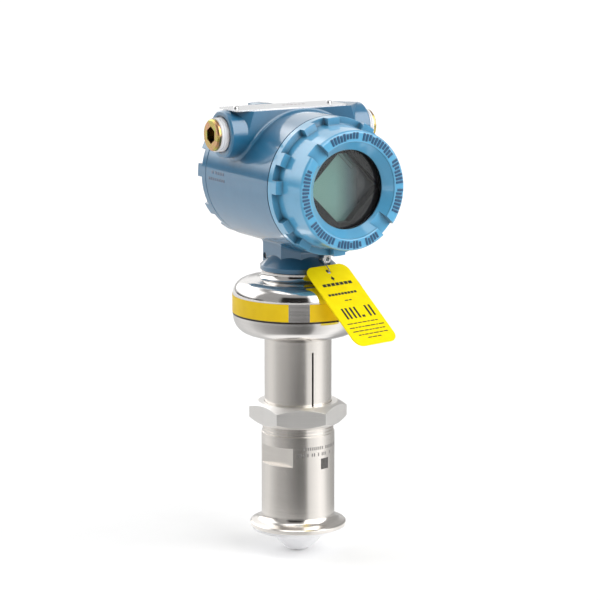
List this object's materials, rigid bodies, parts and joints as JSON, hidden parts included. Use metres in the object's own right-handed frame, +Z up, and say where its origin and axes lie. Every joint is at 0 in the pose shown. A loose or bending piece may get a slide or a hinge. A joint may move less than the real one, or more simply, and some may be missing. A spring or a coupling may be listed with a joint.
{
  "type": "level transmitter",
  "caption": "Field-mounted radar level transmitter: two-compartment blue housing with display window, round steel sensor head, hexagon nut and a clamp ferrule with a white process seal.",
  "frame": {"origin": "centre of the clamp ferrule's sealing face", "axes": "+Z up the neck axis, towards the housing; -Y out of the display window; +X to the right of a person who reads the display"},
  "size_m": [0.12, 0.1378, 0.3003],
  "materials": {
    "blue_paint": "glossy polyurethane paint",
    "polished_steel": "polished stainless steel",
    "turned_steel": "fine turned stainless steel",
    "nut_steel": "matte stainless steel",
    "yellow_label": "printed film",
    "yellow_tag": "flat plastic sheet",
    "white_ptfe": "waxy white fluoropolymer",
    "yellow_zinc": "yellow passivated zinc plate",
    "plate_steel": "bright stainless plate",
    "window_glass": "clear toughened glass",
    "lcd": "unlit liquid crystal panel",
    "black_plastic": "moulded black plastic",
    "seal_rubber": "nitrile rubber",
    "module_case": "plain casting",
    "screw_steel": "bright stainless steel",
    "brass": "nickel brass"
  },
  "bodies": {
    "root": {"process_adapter": "turned_steel", "seal_cone": "white_ptfe", "upper_sleeve": "turned_steel", "sensor_base": "polished_steel", "sensor_dome": "polished_steel", "label_band_front": "yellow_label", "label_band_side": "yellow_label", "waveguide": "turned_steel", "microwave_module": "module_case", "feedthrough": "brass", "neck_seal": "seal_rubber"},
    "head": {"housing": "blue_paint", "nameplate": "plate_steel", "nameplate_pins": "screw_steel", "display_bezel": "black_plastic", "lcd_panel": "lcd", "electronics_module": "black_plastic", "terminal_block": "black_plastic", "terminal_screws": "brass", "ground_screw": "screw_steel", "cap_screw": "screw_steel", "lock_screw": "screw_steel", "jam_screw": "screw_steel", "tag_wire": "screw_steel"},
    "front_seal": {"front_cover_seal": "seal_rubber"},
    "front_cover": {"front_cover": "blue_paint", "window_gasket": "seal_rubber", "cover_glass": "window_glass", "glass_retainer": "black_plastic"},
    "rear_seal": {"rear_cover_seal": "seal_rubber"},
    "rear_cover": {"rear_cover": "blue_paint"},
    "left_tape": {"thread_tape_left": "white_ptfe"},
    "left_plug": {"conduit_plug_left": "yellow_zinc"},
    "right_tape": {"thread_tape_right": "white_ptfe"},
    "right_plug": {"conduit_plug_right": "yellow_zinc"},
    "nut_ring": {"slip_ring": "screw_steel"},
    "nut": {"hex_nut": "nut_steel"},
    "tag": {"tag": "yellow_tag"}
  },
  "joints": [
    {"name": "head_turn", "type": "hinge", "parent": "root", "child": "head", "pos_m": [0, 0, 0.1731], "axis": [0, 0, 1], "range_deg": [-175, 175]},
    {"name": "front_cover_travel", "type": "slide", "parent": "head", "child": "front_seal", "axis": [0, -1, 0], "range_m": [0, 0.0121]},
    {"name": "front_cover_turn", "type": "hinge", "parent": "front_seal", "child": "front_cover", "pos_m": [0, -0.0384, 0.2335], "axis": [0, -1, 0], "range_deg": [0, 2160]},
    {"name": "rear_cover_travel", "type": "slide", "parent": "head", "child": "rear_seal", "axis": [0, 1, 0], "range_m": [0, 0.0121]},
    {"name": "rear_cover_turn", "type": "hinge", "parent": "rear_seal", "child": "rear_cover", "pos_m": [0, 0.0442, 0.2335], "axis": [0, 1, 0], "range_deg": [0, 2160]},
    {"name": "left_plug_travel", "type": "slide", "parent": "head", "child": "left_tape", "axis": [-1, 0, 0], "range_m": [0, 0.0128]},
    {"name": "left_plug_turn", "type": "hinge", "parent": "left_tape", "child": "left_plug", "pos_m": [-0.0525, 0.009, 0.2644], "axis": [-1, 0, 0], "range_deg": [0, 2520]},
    {"name": "right_plug_travel", "type": "slide", "parent": "head", "child": "right_tape", "axis": [1, 0, 0], "range_m": [0, 0.0128]},
    {"name": "right_plug_turn", "type": "hinge", "parent": "right_tape", "child": "right_plug", "pos_m": [0.0525, 0.009, 0.2644], "axis": [1, 0, 0], "range_deg": [0, 2520]},
    {"name": "nut_travel", "type": "slide", "parent": "root", "child": "nut_ring", "axis": [0, 0, 1], "range_m": [0, 0.0091]},
    {"name": "nut_turn", "type": "hinge", "parent": "nut_ring", "child": "nut", "pos_m": [0, 0, 0.0772], "axis": [0, 0, 1], "range_deg": [0, 2160]},
    {"name": "tag_swing", "type": "hinge", "parent": "head", "child": "tag", "pos_m": [0.00614, -0.02815, 0.17438], "axis": [0.1384, -0.6345, 0.7604], "range_deg": [-15, 15]}
  ],
  "couplings": [
    {"joint": "front_cover_travel", "follows": "front_cover_turn", "m_per_rad": 0.00031831},
    {"joint": "rear_cover_travel", "follows": "rear_cover_turn", "m_per_rad": 0.00031831},
    {"joint": "left_plug_travel", "follows": "left_plug_turn", "m_per_rad": 0.00028871},
    {"joint": "right_plug_travel", "follows": "right_plug_turn", "m_per_rad": 0.00028871},
    {"joint": "nut_travel", "follows": "nut_turn", "m_per_rad": 0.00023873}
  ]
}
